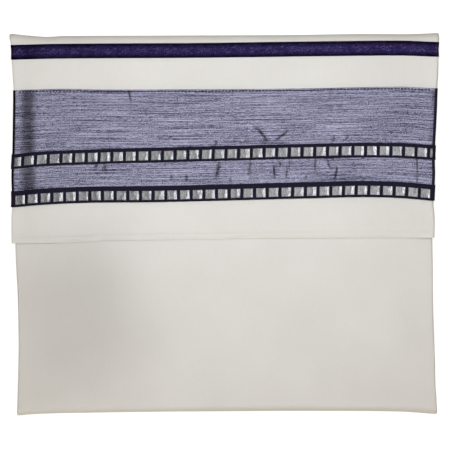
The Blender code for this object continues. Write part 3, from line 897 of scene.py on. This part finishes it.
def make_stitches(name, y_of_x, lift, material, pitch, radius):
    """A row of short threads laid along a line on the flap, their ends drawn down into the cloth."""
    draw = np.random.default_rng(sum(ord(letter) for letter in name))
    count = int(2 * STITCH_REACH / pitch)
    middles = -STITCH_REACH + pitch * (np.arange(count) + 0.5) + draw.uniform(-0.12, 0.12, count)
    half = pitch * 0.4
    along = np.array((-1.0, -0.72, 0.0, 0.72, 1.0))
    rise = np.array((-0.25, 0.35, 0.75, 0.35, -0.25)) * radius
    girth = np.array((0.55, 0.9, 1.0, 0.9, 0.55)) * radius
    sides = 6
    x = middles[:, None] + half * along[None, :]
    lean = draw.uniform(-0.10, 0.10, count)[:, None] * along[None, :]
    y = y_of_x(x) + lean
    place = skin_line(lambda _x: y)(x)
    z = place.z + lift + rise[None, :]
    turn = np.arange(sides) * 2 * pi / sides
    points = np.stack((
        np.repeat(x[:, :, None], sides, 2),
        y[:, :, None] + girth[None, :, None] * np.cos(turn),
        z[:, :, None] + girth[None, :, None] * np.sin(turn),
    ), axis=3)
    rings = len(along)
    first = (np.arange(count) * rings * sides)[:, None, None]
    ring = (np.arange(rings - 1) * sides)[None, :, None]
    spot = np.arange(sides)[None, None, :]
    after = (spot + 1) % sides
    quads = np.stack((first + ring + spot, first + ring + after, first + ring + sides + after,
                      first + ring + sides + spot), axis=3).reshape(-1, 4)
    faces = [tuple(int(v) for v in quad) for quad in quads[:, ::-1]]
    for start in range(0, count * rings * sides, rings * sides):
        faces.append(tuple(range(start, start + sides)))
        faces.append(tuple(range(start + rings * sides - 1, start + (rings - 1) * sides - 1, -1)))
    return make_mesh(name, points.reshape(-1, 3), faces, None, material)


def ribbon_stitches(name, high, low, lift):
    """The two rows of stitches that hold a ribbon, beside its upper and its lower edge."""
    return [
        make_stitches(name + end, line, lift, NAVY_STITCH, *RIBBON_STITCH)
        for end, line in (("_top_stitches", high), ("_foot_stitches", low))
    ]


def make_silk():
    edge, foot = off(SILK_TOP, 0.0), off(LOWER_SQUARES_FOOT, LOWER_RIBBON_WIDTH / 2)
    grid = trim_between(edge, foot, 84, trim_columns(0.9))
    top = SILK_LIFT + SILK_THICKNESS
    piece = make_mesh("silk_band_cloth", *lifted_shell(grid, SILK_LIFT, top), SILK)
    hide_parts("silk_band")
    seam = off(SILK_TOP, -SILK_SEAM)
    stitches = make_stitches("silk_band_stitches", seam, top, NAVY_STITCH, *SILK_STITCH)


def make_navy():
    top, foot = off(NAVY_TOP, 0.0), off(NAVY_TOP, -RIBBON_WIDTH)
    grid = trim_between(top, foot, 14, trim_columns(1.6))
    lift = NAVY_LIFT + RIBBON_THICKNESS
    piece = make_mesh("navy_ribbon_cloth", *lifted_shell(grid, NAVY_LIFT, lift), JACQUARD)
    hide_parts("navy_ribbon")
    rows = ribbon_stitches("navy_ribbon", lambda x: top(x) - NAVY_SEAM, lambda x: foot(x) + NAVY_SEAM, lift)


# Columns and rows of a square as shares of its width and height, closest where its relief is steepest
SQUARE_COLUMNS = (0.0, 0.04, 0.12, 0.25, 0.4, 0.52, 0.6, 0.66, 0.72, 0.78, 0.84, 0.9, 0.96, 1.0)
SQUARE_ROWS = (0.0, 0.04, 0.12, 0.25, 0.4, 0.55, 0.7, 0.85, 0.96, 1.0)


def make_squares(name, node, top, width, first_square, seed):
    """A navy ribbon with a row of raised silver squares, each fuller towards its east side."""
    draw = np.random.default_rng(seed)
    west, east = TRIM_WEST, TRIM_EAST
    starts = np.arange(first_square, HALF_WIDTH, SQUARE_PITCH)
    places = np.concatenate([start + SQUARE_WIDTH * np.array(SQUARE_COLUMNS) for start in starts])
    shares = [share for share in (places - west) / (east - west) if 0 < share < 1]
    columns = trim_columns(shares=shares + [0.0, 1.0])
    heights = np.concatenate((
        np.linspace(0, LOWER_BORDER, 3),
        LOWER_BORDER + SQUARE_HEIGHT * np.array(SQUARE_ROWS),
        np.linspace(LOWER_BORDER + SQUARE_HEIGHT, width, 4)[1:],
    ))
    heights = np.unique(np.round(heights, 4))
    lines = [skin_line(lambda x, h=h: top(x) - width + h) for h in heights]
    grid = sweep(FLAP, columns, lines)
    is_top = np.array([c.part == TOP for c in columns])
    x = west + (east - west) * np.array([c.value if c.part == TOP else 0.0 for c in columns])
    number = np.clip(np.floor((x - first_square + 1e-4) / SQUARE_PITCH).astype(int), 0, len(starts) - 1)
    u = np.clip((x - starts[number]) / SQUARE_WIDTH, 0, 1)[None, :]
    v = np.clip((heights - LOWER_BORDER) / SQUARE_HEIGHT, 0, 1)[:, None]
    waver = ripple(x[None, :], heights[:, None], seed + 5, 9.0, 0.30)
    crest = draw.uniform(0.62, 0.80, len(starts))[number][None, :] + waver
    full = draw.uniform(0.8, 1.15, len(starts))[number][None, :]
    # Each square rises in a curve from west to its crest, and falls steeply beyond it
    profile = np.where(u < crest, 0.3 + 0.7 * (u / crest) ** 2, 1.0 - 0.8 * (u - crest) / (1 - crest))
    inside = (u > 0.02) & (u < 0.98) & (v > 0.02) & (v < 0.98) & is_top[None, :]
    # Where the flap rises to the east the stiff squares stay more level than the cloth below them
    beside = top(x) - width / 2
    slope = np.maximum(flap_top(x + 1.0, beside) - flap_top(x - 1.0, beside), 0.0) / 2
    level = SQUARE_STIFFNESS * slope[None, :] * (1 - u) * SQUARE_WIDTH
    raised = (SQUARE_RAISE * full * profile + level) * inside
    dents = ripple(x[None, :], heights[:, None] * 1.3, seed, 4.0, 0.12) * (raised > 0.1)
    lift = SQUARES_LIFT + RIBBON_THICKNESS
    points, faces, flat = shell(grid.moved(lift + raised + dents), grid.moved(SQUARES_LIFT))
    piece = make_mesh(name, points, faces, flat, NAVY, sharp=26)
    piece.data.materials.append(SILVER)
    mid = (x[:-1] + x[1:]) / 2
    column_silver = ((mid - first_square) % SQUARE_PITCH < SQUARE_WIDTH) & is_top[:-1] & is_top[1:]
    mid_height = (heights[:-1] + heights[1:]) / 2
    row_silver = (mid_height > LOWER_BORDER) & (mid_height < LOWER_BORDER + SQUARE_HEIGHT)
    silver = (row_silver[:, None] & column_silver[None, :]).ravel()
    index = np.zeros(len(faces), dtype=np.int32)
    index[:len(silver)] = silver
    piece.data.polygons.foreach_set("material_index", index)
    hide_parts(node)
    rows = ribbon_stitches(name, lambda x: top(x) - TOP_SEAM, lambda x: top(x) - width + FOOT_SEAM, lift)


make_flap()
make_front()
make_back()
make_wrapped()
make_silk()
make_navy()
make_squares("upper_squares_cloth", "upper_square_ribbon", off(UPPER_SQUARES_TOP, 0.0), RIBBON_WIDTH,
             UPPER_FIRST_SQUARE, seed=61)
make_squares("lower_squares_cloth", "lower_square_ribbon", off(LOWER_SQUARES_FOOT, LOWER_RIBBON_WIDTH),
             LOWER_RIBBON_WIDTH, LOWER_FIRST_SQUARE, seed=62)


def make_view():
    """A long lens straight above, framing the photo's pixels at their real size on the flap."""
    data = bpy.data.cameras.new("camera")
    data.sensor_width = SENSOR
    data.lens = SENSOR * VIEW_HEIGHT / (PHOTO_PIXELS * MM_PER_PIXEL * MM)
    camera = bpy.data.objects.new("camera", data)
    camera.location = (VIEW_X, VIEW_Y, VIEW_HEIGHT + VIEW_LEVEL)
    bpy.context.collection.objects.link(camera)
    bpy.context.scene.camera = camera


WHITE, WARM, COOL = (1.0, 1.0, 1.0), (1.045, 0.985, 0.93), (0.885, 1.01, 1.16)
Light = namedtuple("Light", "name place aim size power color glossy diffuse")
LIGHTS = (
    Light("panel", (0.005, 0.06, 1.3), (0.005, 0.06, 0.0), (0.75, 1.2), 5.95, WARM, True, True),
    Light("key", (1.7, -0.15, 2.6), (0.0, 0.0, 0.0), (1.1, 1.3), 52.0, WHITE, True, False),
    Light("near", (0.01, 0.12, 0.52), (0.01, 0.12, 0.0), (0.45, 0.45), 1.72, COOL, False, True),
    Light("front", (-0.4, -1.5, 0.35), (-0.05, -0.16, 0.0), (1.6, 0.5), 6.4, WHITE, False, True),
)


def add_light(row):
    """A soft box facing its aim; one that isn't seen in glossy surfaces is round."""
    data = bpy.data.lights.new(row.name, "AREA")
    data.shape = "RECTANGLE" if row.glossy else "ELLIPSE"
    data.size, data.size_y = row.size
    data.energy = row.power
    data.color = row.color
    light = bpy.data.objects.new(row.name, data)
    light.location = row.place
    light.rotation_euler = (Vector(row.aim) - Vector(row.place)).to_track_quat("-Z", "Y").to_euler()
    light.visible_glossy = row.glossy
    light.visible_diffuse = row.diffuse
    bpy.context.collection.objects.link(light)


def stage_material(name, grey, glow):
    """A matt grey that glows white at this strength."""
    material = bpy.data.materials.new(name)
    material.use_nodes = True
    shader = material.node_tree.nodes["Principled BSDF"]
    shader.inputs["Base Color"].default_value = (grey, grey, grey, 1)
    shader.inputs["Specular IOR Level"].default_value = 0.1
    shader.inputs["Roughness"].default_value = 0.9
    shader.inputs["Emission Color"].default_value = (1, 1, 1, 1)
    shader.inputs["Emission Strength"].default_value = glow
    return material


def studio_floor():
    """White paper that glows a little, and more so far off, so that it stays white to the horizon."""
    near, far_off, near_glow, far_glow = 0.25, 1.6, 0.64, 0.95
    material = stage_material("studio_floor", 0.95, 1.0)
    nodes, links = material.node_tree.nodes, material.node_tree.links
    place = nodes.new("ShaderNodeTexCoord")
    far = nodes.new("ShaderNodeVectorMath")
    far.operation = "LENGTH"
    links.new(place.outputs["Object"], far.inputs[0])
    glow = nodes.new("ShaderNodeMapRange")
    for socket, number in zip(RANGE, (near, far_off, near_glow, far_glow)):
        glow.inputs[socket].default_value = number
    links.new(far.outputs["Value"], glow.inputs["Value"])
    links.new(glow.outputs["Result"], nodes["Principled BSDF"].inputs["Emission Strength"])
    return material


def studio_world():
    """Soft light from all round: dim and warm overhead, paler and brighter towards the floor."""
    below, low, high, overhead = (
        (0.62, 0.60, 0.56, 1), (0.50, 0.46, 0.41, 1), (0.335, 0.28, 0.215, 1), (0.10, 0.083, 0.063, 1)
    )
    world = bpy.data.worlds.new("studio")
    world.use_nodes = True
    nodes, links = world.node_tree.nodes, world.node_tree.links
    direction = nodes.new("ShaderNodeTexCoord")
    split = nodes.new("ShaderNodeSeparateXYZ")
    links.new(direction.outputs["Generated"], split.inputs[0])
    shift = nodes.new("ShaderNodeMapRange")
    shift.inputs["From Min"].default_value = -0.2
    shift.inputs["From Max"].default_value = 0.8
    links.new(split.outputs["Z"], shift.inputs["Value"])
    ramp = nodes.new("ShaderNodeValToRGB")
    ramp.color_ramp.elements[0].color = below
    ramp.color_ramp.elements[1].color = overhead
    for place, color in ((0.3, low), (0.5, high)):
        ramp.color_ramp.elements.new(place).color = color
    links.new(shift.outputs["Result"], ramp.inputs["Fac"])
    links.new(ramp.outputs["Color"], nodes["Background"].inputs["Color"])
    return world


def add_stage(name, points, faces, material, lights_cloth):
    """A piece of the studio; only one that lights the cloth is seen by more than the camera."""
    mesh = bpy.data.meshes.new(name)
    mesh.from_pydata(points, [], faces)
    mesh.materials.append(material)
    piece = bpy.data.objects.new(name, mesh)
    bpy.context.collection.objects.link(piece)
    piece.visible_diffuse = lights_cloth
    piece.visible_glossy = lights_cloth
    return piece


def ring(radius, level):
    turns = [2 * pi * k / RING_SIDES for k in range(RING_SIDES)]
    return [(radius * cos(turn), radius * sin(turn), level) for turn in turns]


def make_studio():
    size, sides = STUDIO_REACH, RING_SIDES
    square = [(-size, -size, 0), (size, -size, 0), (size, size, 0), (-size, size, 0)]
    floor = add_stage("floor", square, [(0, 1, 2, 3)], studio_floor(), False)
    floor.location.z = FLOOR_LEVEL
    backdrop = stage_material("studio_backdrop", 0.0, 0.92)
    faces = [(k, (k + 1) % sides, (k + 1) % sides + sides, k + sides) for k in range(sides)]
    wall = add_stage("backdrop", ring(size, BACKDROP_FOOT) + ring(size, size), faces, backdrop, False)
    wall.visible_shadow = False
    # A small dark card shades the west of the lower panel, and only its shadow shows
    card = stage_material("studio_card", 0.02, 0.0)
    flag = add_stage("flag", ring(FLAG_RADIUS, 0.0), [tuple(range(sides))], card, True)
    flag.location = FLAG_PLACE
    flag.visible_camera = False
    flag.visible_glossy = False
    bpy.context.scene.world = studio_world()
    for row in LIGHTS:
        add_light(row)
    bpy.context.scene.view_settings.view_transform = "Standard"


make_view()
make_studio()
